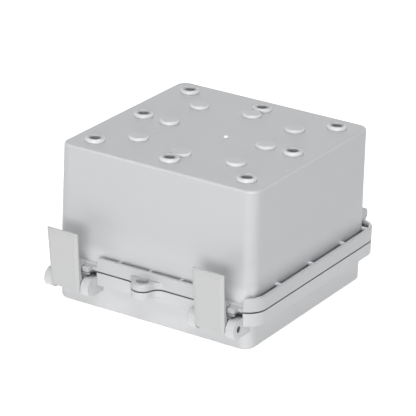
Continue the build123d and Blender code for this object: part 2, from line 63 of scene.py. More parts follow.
class Slot(str, Enum):
    """Material slot names of the record."""

    BRASS = "insert_brass"


class Axis(Enum):
    """Index of a coordinate in a vector."""

    X = 0
    Y = 1
    Z = 2


class Detail(Enum):
    """How many finer layers a noise has."""

    NONE = 0.0
    LITTLE = 1.0
    SOME = 2.0
    MUCH = 3.0


class Ray(str, Enum):
    """Rays that show a thing directly, in gloss or through glass."""

    CAMERA = "Is Camera Ray"
    GLOSSY = "Is Glossy Ray"
    THROUGH = "Is Transmission Ray"


class Signal:
    """A node socket that takes part in Python expressions."""

    def __init__(self, sheet: "NodeSheet", socket: bpy.types.NodeSocket) -> None:
        """Wraps a socket of a sheet's tree."""
        self.sheet = sheet
        self.socket = socket

    def _join(self, operation: str, *values: Any) -> "Signal":
        """Adds a Math node whose inputs are signals or numbers."""
        settings = {"operation": operation}
        return self.sheet.node("ShaderNodeMath", settings, dict(enumerate(values)))

    def __add__(self, other: Any) -> "Signal":
        """Sum."""
        return self._join("ADD", self, other)

    def __radd__(self, other: Any) -> "Signal":
        """Sum with a number in front."""
        return self._join("ADD", other, self)

    def __sub__(self, other: Any) -> "Signal":
        """Difference."""
        return self._join("SUBTRACT", self, other)

    def __rsub__(self, other: Any) -> "Signal":
        """Difference from a number."""
        return self._join("SUBTRACT", other, self)

    def __mul__(self, other: Any) -> "Signal":
        """Product."""
        return self._join("MULTIPLY", self, other)

    def __rmul__(self, other: Any) -> "Signal":
        """Product with a number in front."""
        return self._join("MULTIPLY", other, self)

    def __abs__(self) -> "Signal":
        """Size without its sign."""
        return self._join("ABSOLUTE", self)

    def largest(self, other: Any) -> "Signal":
        """The larger of this and another."""
        return self._join("MAXIMUM", self, other)

    def smallest(self, other: Any) -> "Signal":
        """The smaller of this and another."""
        return self._join("MINIMUM", self, other)

    def wrapped(self, half: float) -> "Signal":
        """Distance from the nearest of a row of marks that are two halves apart."""
        return self._join("WRAP", self, half, -half)

    def between(self, first: float, second: float) -> "Signal":
        """Number that goes from the first to the second as this goes from 0 to 1."""
        return first + self * (second - first)

    def root(self) -> "Signal":
        """Square root."""
        return self._join("SQRT", self)

    def wave(self) -> "Signal":
        """Sine."""
        return self._join("SINE", self)


Reading = tuple[Signal, Signal, Signal]


class NodeSheet:
    """Writes the nodes of one shader or geometry tree."""

    def __init__(self, tree: bpy.types.NodeTree) -> None:
        """Starts on an empty tree."""
        self.tree = tree

    def node(
        self,
        kind: str,
        settings: dict[str, Any] | None = None,
        inputs: dict[int | str, Any] | None = None,
        outlet: int | str = 0,
    ) -> Signal:
        """Adds a node.

        Args:
            kind: Node type.
            settings: Properties of the node, set before its sockets.
            inputs: Values or signals by socket name or number.
            outlet: Name or number of the output that is returned.

        Returns:
            The chosen output.
        """
        made = self.tree.nodes.new(kind)
        for name, value in (settings or {}).items():
            setattr(made, name, value)
        for name, value in (inputs or {}).items():
            if isinstance(value, Signal):
                self.tree.links.new(value.socket, made.inputs[name])
            else:
                made.inputs[name].default_value = value
        return Signal(self, made.outputs[outlet] if made.outputs else None)

    def split(self, vector: Signal) -> Reading:
        """The three numbers of a vector."""
        parts = self.node("ShaderNodeSeparateXYZ", {}, {0: vector}).socket.node
        return tuple(Signal(self, parts.outputs[axis.value]) for axis in Axis)


class FinishSheet(NodeSheet):
    """Shader tree of one finish."""

    edge_samples = 4
    crease_samples = 8

    def __init__(self, name: str) -> None:
        """Makes a material with an empty tree.

        Args:
            name: Name of the material.
        """
        self.material = bpy.data.materials.new(name)
        self.material.use_nodes = True
        self.material.node_tree.nodes.clear()
        super().__init__(self.material.node_tree)

    def place(self) -> Signal:
        """Object coordinates, in metres."""
        return self.node("ShaderNodeTexCoord", {}, {}, "Object")

    def upward(self) -> Signal:
        """How far the surface faces up, from -1 to 1."""
        return self.split(self.node("ShaderNodeTexCoord", {}, {}, "Normal"))[Axis.Z.value]

    def stretched(self, scale: Place, shift: Place = (0.0, 0.0, 0.0)) -> Signal:
        """Object coordinates, stretched along each axis and then shifted."""
        inputs = {"Vector": self.place(), "Scale": scale, "Location": shift}
        return self.node("ShaderNodeMapping", {}, inputs)

    def cloud(self, size: float, detail: Detail = Detail.SOME, at: Signal | None = None) -> Signal:
        """Soft noise from 0 to 1, with patches of a size in metres."""
        inputs = {"Vector": at or self.place(), "Scale": 1.0 / size, "Detail": detail.value}
        return self.node("ShaderNodeTexNoise", {}, inputs, 0)

    def band(self, value: Signal, low: float, high: float) -> Signal:
        """Smooth step of a value.

        Args:
            value: Signal to read.
            low: Value that gives 0.
            high: Value that gives 1.

        Returns:
            0 to 1.
        """
        settings = {"interpolation_type": "SMOOTHSTEP", "clamp": True}
        inputs = {"Value": value, "From Min": low, "From Max": high}
        return self.node("ShaderNodeMapRange", settings, inputs)

    def tinted(self, colour: Colour, tone: Signal) -> Signal:
        """A linear colour made lighter or darker by a factor round 1."""
        inputs = {0: colour, "Scale": tone}
        return self.node("ShaderNodeVectorMath", {"operation": "SCALE"}, inputs)

    def blended(self, share: Signal, first: Signal, second: Colour) -> Signal:
        """Mix of a colour signal and a plain colour, which is complete at a share of 1."""
        inputs = {0: share, 6: first, 7: (*second, 1.0)}
        return self.node("ShaderNodeMix", {"data_type": "RGBA"}, inputs, 2)

    def rounded(self, radius: float) -> Signal:
        """Normal that is rounded near edges, by a radius in metres."""
        return self.node("ShaderNodeBevel", {"samples": self.edge_samples}, {"Radius": radius})

    def relief(self, height: Signal, depth: float, normal: Signal | None = None) -> Signal:
        """Normal of a fine relief.

        Args:
            height: Height from 0 to 1.
            depth: What a height of 1 stands for, in metres.
            normal: Normal below the relief, or None for the surface's.

        Returns:
            The normal.
        """
        inputs = {"Height": height, "Distance": depth, "Strength": 1.0}
        if normal is not None:
            inputs["Normal"] = normal
        return self.node("ShaderNodeBump", {}, inputs)

    def crease_share(self, reach: float, span: Span) -> Signal:
        """How deep a point lies in a gap.

        Args:
            reach: Distance in metres within which a facing wall counts.
            span: Share of open sky where the crease begins, and where it is complete.

        Returns:
            0 in the open, up to 1 in a gap.
        """
        settings = {"samples": self.crease_samples}
        open_share = self.node("ShaderNodeAmbientOcclusion", settings, {"Distance": reach}, "AO")
        return self.band(open_share, *span)

    def edge_share(self, normal: Signal, gain: float) -> Signal:
        """How near an edge a point is.

        Args:
            normal: Rounded normal.
            gain: How quickly the share rises.

        Returns:
            0 on flat ground, up to 1 on a corner.
        """
        true = self.node("ShaderNodeNewGeometry", {}, {}, "Normal")
        settings = {"operation": "DOT_PRODUCT"}
        along = self.node("ShaderNodeVectorMath", settings, {0: normal, 1: true}, "Value")
        return ((1.0 - along) * gain).smallest(1.0).largest(0.0)

    def finish(self, **sockets: Any) -> bpy.types.Material:
        """Ends the tree in a Principled shader.

        Args:
            **sockets: Values or signals by socket name, with _ for a space.

        Returns:
            The finished material.
        """
        inputs = {name.replace("_", " "): value for name, value in sockets.items()}
        shader = self.node("ShaderNodeBsdfPrincipled", {}, inputs)
        self.node("ShaderNodeOutputMaterial", {}, {"Surface": shader})
        return self.material


@dataclass(frozen=True)
class MouldedPlastic:
    """Fine matte moulded polycarbonate, its edges a little lighter from wear and painted
    highlight, with painted shade in its creases.
    """

    name: str
    colour: Colour
    roughness: float = 0.34
    index: float = 1.58
    edge_radius: float = 0.35 * MM
    edge_gain: float = 3.0
    edge_wear_and_highlight: float = 0.03
    edge_polish: float = 0.02
    flow_size: float = 34.0 * MM
    flow_light: float = 0.035
    flow_haze: float = 0.05
    fleck_size: float = 0.9 * MM
    fleck_light: float = 0.02
    grain_size: float = 0.55 * MM
    grain_share: float = 0.7
    peel_size: float = 2.4 * MM
    peel_share: float = 0.9
    relief_depth: float = 0.012 * MM
    streak_scale: Place = (40.0, 700.0, 260.0)
    streak_span: Span = (0.66, 0.74)
    scuff_patch: float = 22.0 * MM
    scuff_span: Span = (0.5, 0.62)
    scuff_light: float = 0.012
    scuff_haze: float = 0.03
    scuff_share: float = 0.05
    # Painted shade in creases and fine gaps: reach and span of each mask, the dark colour mixed in
    # and its strength.
    crease_reach: float = 8.0 * MM
    crease_span: Span = (0.6, 0.2)
    painted_shade_colour: Colour = (0.05, 0.056, 0.085)
    painted_shade_depth: float = 0.9
    seam_reach: float = 1.5 * MM
    seam_span: Span = (0.64, 0.28)
    off_floor: Span = (1.5 * MM, 6.0 * MM)

    def make(self) -> bpy.types.Material:
        """Builds the plastic's shader tree.

        Returns:
            The plastic's material.
        """
        sheet = FinishSheet(self.name)
        edge_normal = sheet.rounded(self.edge_radius)
        edge = sheet.edge_share(edge_normal, self.edge_gain)
        flow = sheet.cloud(self.flow_size, Detail.MUCH) - 0.5
        peel = sheet.cloud(self.peel_size, Detail.LITTLE)
        grain = sheet.cloud(self.grain_size)
        fleck = sheet.cloud(self.fleck_size, Detail.NONE) - 0.5
        scuff = self.scuffs(sheet)
        place = sheet.split(sheet.place())
        tone = 1.0 + flow * self.flow_light + fleck * self.fleck_light
        # Edges a little lighter: part wear, part painted highlight.
        tone = tone + edge * self.edge_wear_and_highlight + scuff * self.scuff_light
        # Painted light and painted highlights, where a finish has them.
        tone = tone + self.painted_light(sheet, place)
        # Painted shade: the colour turns dark blue-grey in creases, gaps and bores where shade
        # falls, fading out near the floor.
        crease = self.hollow_shade(sheet, place).largest(self.seam_shade(sheet, place))
        crease = crease * sheet.band(place[Axis.Z.value], *self.off_floor) * self.painted_shade_depth
        haze = flow * self.flow_haze - edge * self.edge_polish + scuff * self.scuff_haze
        relief = grain * self.grain_share + peel * self.peel_share - scuff * self.scuff_share
        return sheet.finish(
            Base_Color=sheet.blended(crease, sheet.tinted(self.colour, tone), self.painted_shade_colour),
            Roughness=self.roughness + haze,
            Normal=sheet.relief(relief, self.relief_depth, edge_normal),
            IOR=self.index,
        )

    def scuffs(self, sheet: FinishSheet) -> Signal:
        """Fine scratches in patches.

        Args:
            sheet: Tree to write to.

        Returns:
            1 on a scratch, 0 elsewhere.
        """
        streak = sheet.cloud(1.0, Detail.SOME, sheet.stretched(self.streak_scale))
        patch = sheet.cloud(self.scuff_patch, Detail.LITTLE)
        return sheet.band(streak, *self.streak_span) * sheet.band(patch, *self.scuff_span)

    def painted_light(self, sheet: FinishSheet, place: Reading) -> Signal | float:
        """Painted light added to the tone, of which a plain moulding has none."""
        return 0.0

    def hollow_shade(self, sheet: FinishSheet, place: Reading) -> Signal:
        """Share of painted shade deep between facing walls."""
        return sheet.crease_share(self.crease_reach, self.crease_span)

    def seam_shade(self, sheet: FinishSheet, place: Reading) -> Signal:
        """Share of painted shade in the finest gaps."""
        return sheet.crease_share(self.seam_reach, self.seam_span)


@dataclass(frozen=True)
class ShellPlastic(MouldedPlastic):
    """Plastic of one half of the box, with painted light low down and painted shade along the
    parting line.
    """

    # Painted light low on the walls: heights over which it comes in, and how much.
    painted_low_span: Span = (24.0 * MM, 18.0 * MM)
    painted_low_gain: float = 0.09
    # Painted shade along the parting gap: its height, its width, and its strength in front and on
    # the sides.
    parting: float = 33.2 * MM
    parting_span: Span = (0.8 * MM, 0.35 * MM)
    parting_shade: Span = (0.75, 0.95)
    side_span: Span = (-2.0 * MM, 2.0 * MM)

    def sides(self, sheet: FinishSheet, place: Reading) -> Signal:
        """1 on the two sides of the box, 0 in front and behind."""
        across, along, _ = place
        return sheet.band(abs(across) - abs(along), *self.side_span)

    def painted_light(self, sheet: FinishSheet, place: Reading) -> Signal:
        """Painted light added to the tone low on the walls."""
        return sheet.band(place[Axis.Z.value], *self.painted_low_span) * self.painted_low_gain

    def seam_shade(self, sheet: FinishSheet, place: Reading) -> Signal:
        """Share of painted shade in the finest gaps and along the parting line.

        Args:
            sheet: Tree to write to.
            place: Object coordinates.

        Returns:
            0 where no shade is painted, up to 1.
        """
        # Painted shade along the parting gap, stronger on the two sides.
        beside = abs(place[Axis.Z.value] - self.parting)
        gap_shade = self.sides(sheet, place).between(*self.parting_shade)
        line = sheet.band(beside, *self.parting_span) * gap_shade
        return super().seam_shade(sheet, place).largest(line)


@dataclass(frozen=True)
class HousingPlastic(ShellPlastic):
    """Plastic of the deep half, with painted highlights on its gate mark, bosses, pads and brim,
    and painted shade in its channel and bores.
    """

    painted_low_span: Span = (72.0 * MM, 46.0 * MM)
    # Painted light just above the channel, more on the sides than in front.
    foot_painted_span: Span = (51.0 * MM, 42.5 * MM)
    foot_painted_gain: Span = (0.25, 0.42)
    wall_span: Span = (87.7 * MM, 86.7 * MM)
    corner_span: Span = (82.5 * MM, 79.5 * MM)
    # Painted highlight on the gate nub: its centre, radius and strength.
    gate: Place = (8.6 * MM, -1.3 * MM, 121.6 * MM)
    gate_span: Span = (2.53 * MM, 1.84 * MM)
    gate_highlight: float = 0.55
    # Painted highlights on the slopes of bosses and pads and on the brim's rounded edge.
    proud_span: Span = (120.95 * MM, 121.35 * MM)
    steep_span: Span = (0.98, 0.8)
    boss_pitch: float = 63.5 * MM
    boss_span: Span = (4.8 * MM, 5.3 * MM)
    slope_highlight_gain: float = 0.4
    highlight_on_flat: float = 0.1
    brim_span: Span = (118.55 * MM, 119.15 * MM)
    brim_lean: Span = (0.05, 0.35)
    brim_highlight: float = 0.13
    # Where the painted shade of the channel and the bores may fall.
    channel_span: Span = (41.7 * MM, 40.4 * MM)
    lip_span: Span = (88.7 * MM, 87.7 * MM)
    bore_span: Span = (110.0 * MM, 111.0 * MM)

    def painted_light(self, sheet: FinishSheet, place: Reading) -> Signal:
        """Painted light added to the tone low on the walls, and painted highlights on the gate
        mark and on the back's slopes.

        Args:
            sheet: Tree to write to.
            place: Object coordinates.

        Returns:
            The sum of all of them.
        """
        # Painted light: walls lighter low down and lighter still just above the channel, most on
        # the sides.
        wide, deep = abs(place[Axis.X.value]), abs(place[Axis.Y.value])
        wall = sheet.band(wide.largest(deep), *self.wall_span)
        wall = wall * sheet.band(wide.smallest(deep), *self.corner_span)
        foot = sheet.band(place[Axis.Z.value], *self.foot_painted_span)
        foot = foot * self.sides(sheet, place).between(*self.foot_painted_gain)
        low = (super().painted_light(sheet, place) + foot) * wall
        return low + self.gate_glint(sheet) + self.back_highlights(sheet, place)

    def gate_glint(self, sheet: FinishSheet) -> Signal:
        """Painted highlight added to the tone on the small nub where the mould was filled.

        Args:
            sheet: Tree to write to.

        Returns:
            0 away from the nub.
        """
        inputs = {0: sheet.place(), 1: self.gate}
        away = sheet.node("ShaderNodeVectorMath", {"operation": "DISTANCE"}, inputs, "Value")
        return sheet.band(away, *self.gate_span) * self.gate_highlight

    def back_highlights(self, sheet: FinishSheet, place: Reading) -> Signal:
        """Painted highlights added to the tone on the slopes of bosses and pads and on the round
        brim.

        Args:
            sheet: Tree to write to.
            place: Object coordinates.

        Returns:
            0 on the flat back.
        """
        across, along, height = place
        upward = sheet.upward()
        steep = sheet.band(upward, *self.steep_span)
        proud = sheet.band(height, *self.proud_span)
        x, y = (value.wrapped(self.boss_pitch / 2) for value in (across, along))
        outside_bore = sheet.band((x * x + y * y).root(), *self.boss_span)
        # Painted highlight on the bosses' and pads' slopes, a little on their tops too, and along
        # the brim.
        slope_highlight = proud * outside_bore * steep.between(self.highlight_on_flat, 1.0)
        brim = sheet.band(height, *self.brim_span) * (1.0 - proud)
        brim = brim * steep * sheet.band(upward, *self.brim_lean)
        return slope_highlight * self.slope_highlight_gain + brim * self.brim_highlight

    def hollow_shade(self, sheet: FinishSheet, place: Reading) -> Signal:
        """Share of painted shade in the lip's channel or in a boss's bore.

        Args:
            sheet: Tree to write to.
            place: Object coordinates.

        Returns:
            0 in the open and on the outer walls, up to 1.
        """
        across, along, height = place
        out = abs(across).largest(abs(along))
        channel = sheet.band(height, *self.channel_span) * sheet.band(out, *self.lip_span)
        bores = sheet.band(height, *self.bore_span)
        # Painted shade is kept to the channel and the bores.
        return super().hollow_shade(sheet, place) * channel.largest(bores)


@dataclass(frozen=True)
class DrawnSteel:
    """Stainless pin: drawn lines along X, turned rings on its ends, and painted shade where it
    lies deep in its bore.
    """

    name: str
    centre: tuple[float, float]
    colour: Colour = (0.56, 0.56, 0.55)
    tone: float = 0.92
    line_scale: Place = (30.0, 3200.0, 3200.0)
    line_light: float = 0.1
    line_haze: float = 0.12
    ring_pitch: float = 0.22 * MM
    ring_share: float = 0.2
    relief_depth: float = 0.006 * MM
    stain_size: float = 5.0 * MM
    stain_light: float = 0.06
    stain_haze: float = 0.08
    roughness: float = 0.26
    # Painted shade deep in the bore.
    recess_shade_reach: float = 4.0 * MM
    recess_shade_span: Span = (0.6, 0.2)
    recess_shade_depth: float = 0.85

    def make(self) -> bpy.types.Material:
        """Builds the steel's shader tree.

        Returns:
            The steel's material.
        """
        sheet = FinishSheet(self.name)
        lines = sheet.cloud(1.0, Detail.MUCH, sheet.stretched(self.line_scale))
        centred = sheet.stretched((1.0, 1.0, 1.0), (0.0, -self.centre[0], -self.centre[1]))
        _, y, z = sheet.split(centred)
        rings = ((y * y + z * z).root() * (2.0 * math.pi / self.ring_pitch)).wave()
        stain = sheet.cloud(self.stain_size)
        # Painted shade: the steel darkens where it lies deep in its bore.
        unshaded = 1.0 - sheet.crease_share(self.recess_shade_reach, self.recess_shade_span) * self.recess_shade_depth
        tone = (self.tone + lines * self.line_light + stain * self.stain_light) * unshaded
        haze = lines * self.line_haze + (stain - 0.5) * self.stain_haze
        return sheet.finish(
            Base_Color=sheet.tinted(self.colour, tone),
            Metallic=1.0,
            Roughness=self.roughness + haze,
            Normal=sheet.relief(lines + rings * self.ring_share, self.relief_depth),
        )


@dataclass(frozen=True)
class FoamSeal:
    """Dark closed-cell seal with small open cells on its skin."""

    name: str
    colour: Colour = (0.035, 0.036, 0.038)
    tone: float = 0.75
    cell_size: float = 0.7 * MM
    cell_light: float = 0.5
    cell_share: float = 0.8
    skin_size: float = 0.25 * MM
    skin_haze: float = 0.2
    skin_share: float = 0.3
    dust_size: float = 9.0 * MM
    dust_span: Span = (0.55, 0.75)
    dust_light: float = 0.5
    roughness: float = 0.82
    relief_depth: float = 0.12 * MM

    def make(self) -> bpy.types.Material:
        """Builds the seal's shader tree.

        Returns:
            The seal's material.
        """
        sheet = FinishSheet(self.name)
        inputs = {"Vector": sheet.place(), "Scale": 1.0 / self.cell_size, "Randomness": 1.0}
        cells = sheet.node("ShaderNodeTexVoronoi", {}, inputs, "Distance")
        skin = sheet.cloud(self.skin_size)
        dust = sheet.band(sheet.cloud(self.dust_size, Detail.MUCH), *self.dust_span)
        tone = self.tone + cells * self.cell_light + dust * self.dust_light
        relief = cells * self.cell_share + skin * self.skin_share
        return sheet.finish(
            Base_Color=sheet.tinted(self.colour, tone),
            Roughness=self.roughness + (skin - 0.5) * self.skin_haze,
            Normal=sheet.relief(relief, self.relief_depth),
        )


@dataclass(frozen=True)
class TurnedBrass:
    """Brass of the inserts, with fine turning lines round the upright axis."""

    name: str
    colour: Colour = (0.72, 0.5, 0.2)
    tone: float = 0.82
    line_pitch: float = 0.12 * MM
    line_share: float = 0.3
    tarnish_size: float = 1.6 * MM
    tarnish_light: float = 0.3
    tarnish_haze: float = 0.2
    roughness: float = 0.24
    relief_depth: float = 0.008 * MM

    def make(self) -> bpy.types.Material:
        """Builds the brass's shader tree.

        Returns:
            The brass's material.
        """
        sheet = FinishSheet(self.name)
        _, _, z = sheet.split(sheet.place())
        lines = (z * (2.0 * math.pi / self.line_pitch)).wave()
        tarnish = sheet.cloud(self.tarnish_size, Detail.MUCH)
        return sheet.finish(
            Base_Color=sheet.tinted(self.colour, self.tone + tarnish * self.tarnish_light),
            Metallic=1.0,
            Roughness=self.roughness + tarnish * self.tarnish_haze,
            Normal=sheet.relief(lines * self.line_share + tarnish, self.relief_depth),
        )


@dataclass(frozen=True)
class StudioFloor:
    """White floor that keeps the box's shadow and ends in plain white far out."""

    name: str
    colour: Colour = (0.94, 0.94, 0.94)
    tone: float = 0.99
    patch_size: float = 0.3
    patch_light: float = 0.02
    seen_glow: float = 0.68
    lit_glow: float = 0.1
    white_span: Span = (0.5, 1.4)

    def make(self) -> bpy.types.Material:
        """Builds the floor's shader tree.

        Returns:
            The floor's material.
        """
        sheet = FinishSheet(self.name)
        tone = self.tone + sheet.cloud(self.patch_size) * self.patch_light
        paper = sheet.node("ShaderNodeBsdfDiffuse", {}, {"Color": sheet.tinted(self.colour, tone)})
        seen, lit, white = (
            sheet.node("ShaderNodeEmission", {}, {"Color": WHITE, "Strength": strength})
            for strength in (self.seen_glow, self.lit_glow, 1.0)
        )
        near, filled = (
            sheet.node("ShaderNodeAddShader", {}, {0: paper, 1: glow}) for glow in (seen, lit)
        )
        settings = {"operation": "LENGTH"}
        away = sheet.node("ShaderNodeVectorMath", settings, {0: sheet.place()}, "Value")
        far = sheet.band(away, *self.white_span)
        shown = sheet.node("ShaderNodeMixShader", {}, {0: far, 1: near, 2: white})
        mixed = sheet.node("ShaderNodeMixShader", {}, {0: seen_share(sheet), 1: filled, 2: shown})
        sheet.node("ShaderNodeOutputMaterial", {}, {"Surface": mixed})
        return sheet.material


def seen_share(sheet: NodeSheet) -> Signal:
    """1 for the rays that show a thing, and 0 for light that spreads."""
    rays = [sheet.node("ShaderNodeLightPath", {}, {}, ray.value) for ray in Ray]
    return rays[0].largest(rays[1]).largest(rays[2])


class GeometrySheet(NodeSheet):
    """Geometry tree with named inputs, run once on a mesh."""

    def __init__(self, name: str) -> None:
        """Makes a tree with a geometry input and output.

        Args:
            name: Name of the tree.
        """
        super().__init__(bpy.data.node_groups.new(name, "GeometryNodeTree"))
        for way in ("INPUT", "OUTPUT"):
            self.tree.interface.new_socket(
                "Geometry", in_out=way, socket_type="NodeSocketGeometry"
            )
        self.entry = self.tree.nodes.new("NodeGroupInput")
        self.given: dict[str, Any] = {}

    def ask(self, name: str, kind: str, value: Any) -> Signal:
        """Adds a named input.

        Args:
            name: Input name.
            kind: Socket type.
            value: Value that the modifier gives it.

        Returns:
            The input's signal.
        """
        socket = self.tree.interface.new_socket(name, in_out="INPUT", socket_type=kind)
        self.given[socket.identifier] = value
        return Signal(self, self.entry.outputs[name])

    def size(self, name: str, value: float) -> Signal:
        """Named input for a size in metres, or any number."""
        return self.ask(name, "NodeSocketFloat", value)

    def count(self, name: str, value: int) -> Signal:
        """Named input for a whole number."""
        return self.ask(name, "NodeSocketInt", value)

    def body(self) -> Signal:
        """Geometry that the tree is given."""
        return Signal(self, self.entry.outputs["Geometry"])

    def vector(self, x: Any, y: Any, z: Any) -> Signal:
        """Vector of three values or signals."""
        return self.node("ShaderNodeCombineXYZ", {}, {0: x, 1: y, 2: z})

    def raised(self, geometry: Signal, height: Any) -> Signal:
        """Geometry moved up by a value or signal."""
        inputs = {"Geometry": geometry, "Translation": self.vector(0.0, 0.0, height)}
        return self.node("GeometryNodeTransform", {}, inputs)

    def joined(self, parts: Iterable[Signal]) -> Signal:
        """Several geometries as one.

        Args:
            parts: Geometry signals.

        Returns:
            The joined geometry.
        """
        node = self.tree.nodes.new("GeometryNodeJoinGeometry")
        for part in parts:
            self.tree.links.new(part.socket, node.inputs[0])
        return Signal(self, node.outputs[0])

    def close(self, geometry: Signal, material: bpy.types.Material) -> None:
        """Ends the tree.

        Args:
            geometry: What the tree gives.
            material: Material of all of it.
        """
        finish = self.ask("Finish", "NodeSocketMaterial", material)
        real = self.node("GeometryNodeRealizeInstances", {}, {0: geometry})
        inputs = {"Geometry": real, "Material": finish}
        dressed = self.node("GeometryNodeSetMaterial", {}, inputs)
        exit_node = self.tree.nodes.new("NodeGroupOutput")
        self.tree.links.new(dressed.socket, exit_node.inputs[0])

    def run(self, start: bpy.types.Mesh, name: str) -> bpy.types.Mesh:
        """Evaluates the tree on a mesh.

        Args:
            start: Mesh that goes in.
            name: Name of the new mesh.

        Returns:
            Plain mesh.
        """
        carrier = bpy.data.objects.new(name + "_carrier", start)
        bpy.context.scene.collection.objects.link(carrier)
        modifier = carrier.modifiers.new("tree", "NODES")
        modifier.node_group = self.tree
        for identifier, value in self.given.items():
            modifier[identifier] = value
        graph = bpy.context.evaluated_depsgraph_get()
        mesh = bpy.data.meshes.new_from_object(carrier.evaluated_get(graph))
        mesh.name = name
        carrier.modifiers.clear()
        bpy.data.objects.remove(carrier)
        return mesh


def dress(node: str, material: bpy.types.Material) -> None:
    """Gives a CAD node its material.

    Args:
        node: Node name.
        material: Material for all of its slots.
    """
    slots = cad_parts[node].data.materials
    for index in range(max(len(slots), 1)):
        if index < len(slots):
            slots[index] = material
        else:
            slots.append(material)
    LOG.info("dressed %s with %s", node, material.name)


def add_piece(name: str, mesh: bpy.types.Mesh, body: Moulding) -> bpy.types.Object:
    """Adds a piece that rides on a body.

    Args:
        name: Piece name.
        mesh: Its mesh, in place.
        body: Body that it moves with.

    Returns:
        The new object.
    """
    piece = bpy.data.objects.new(name, mesh)
    bpy.context.scene.collection.objects.link(piece)
    bpy.context.view_layer.update()
    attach(piece, body.value)
    LOG.info("piece %s on %s: %d faces", name, body.value, len(mesh.polygons))
    return piece


def lathed(profile: list[tuple[float, float]], steps: int, name: str) -> bpy.types.Mesh:
    """Closed ring made by turning an outline round Z.

    Args:
        profile: Radius and height of each corner, anticlockwise with the radius to the right.
        steps: Number of segments.
        name: Mesh name.

    Returns:
        The turned mesh.
    """
    work = bmesh.new()
    rings = []
    for step in range(steps):
        angle = 2.0 * math.pi * step / steps
        turn = (math.cos(angle), math.sin(angle))
        rings.append([work.verts.new((r * turn[0], r * turn[1], z)) for r, z in profile])
    for step, ring in enumerate(rings):
        after = rings[(step + 1) % steps]
        for index in range(len(profile)):
            ahead = (index + 1) % len(profile)
            work.faces.new((ring[index], after[index], after[ahead], ring[ahead]))
    bmesh.ops.recalc_face_normals(work, faces=work.faces)
    mesh = bpy.data.meshes.new(name)
    work.to_mesh(mesh)
    work.free()
    return mesh


@dataclass
class Housing:
    """Deep half of the box, with its hinge pins."""

    hinge_pins: tuple[str, str] = ("hinge_pin_left", "hinge_pin_right")
    hinge_axis: tuple[float, float] = (96.1 * MM, 43.5 * MM)
    colour: Colour = (0.582, 0.585, 0.594)

    def make(self) -> None:
        """Dresses the moulding and its pins."""
        dress(Moulding.HOUSING.value, HousingPlastic("housing_finish", self.colour).make())
        steel = DrawnSteel("hinge_pin_finish", self.hinge_axis).make()
        for pin in self.hinge_pins:
            dress(pin, steel)


@dataclass
class Lid:
    """Shallow half of the box, with its seal and latch pins."""

    seal: str = "gasket"
    latch_pins: tuple[str, str] = ("latch_pin_left", "latch_pin_right")
    latch_axis: tuple[float, float] = (-94.2 * MM, 22.4 * MM)
    colour: Colour = (0.624, 0.626, 0.633)

    def make(self) -> None:
        """Dresses the moulding, the seal and the pins."""
        dress(Moulding.LID.value, ShellPlastic("lid_finish", self.colour).make())
        dress(self.seal, FoamSeal("seal_finish").make())
        steel = DrawnSteel("latch_pin_finish", self.latch_axis).make()
        for pin in self.latch_pins:
            dress(pin, steel)


@dataclass
class Latches:
    """Two swing latches in a slightly warmer and duller plastic."""

    colour: Colour = (0.554, 0.554, 0.553)
    roughness: float = 0.4

    def make(self) -> None:
        """Dresses both latches."""
        plastic = MouldedPlastic("latch_finish", self.colour, self.roughness).make()
        for latch in (Moulding.LATCH_LEFT, Moulding.LATCH_RIGHT):
            dress(latch.value, plastic)


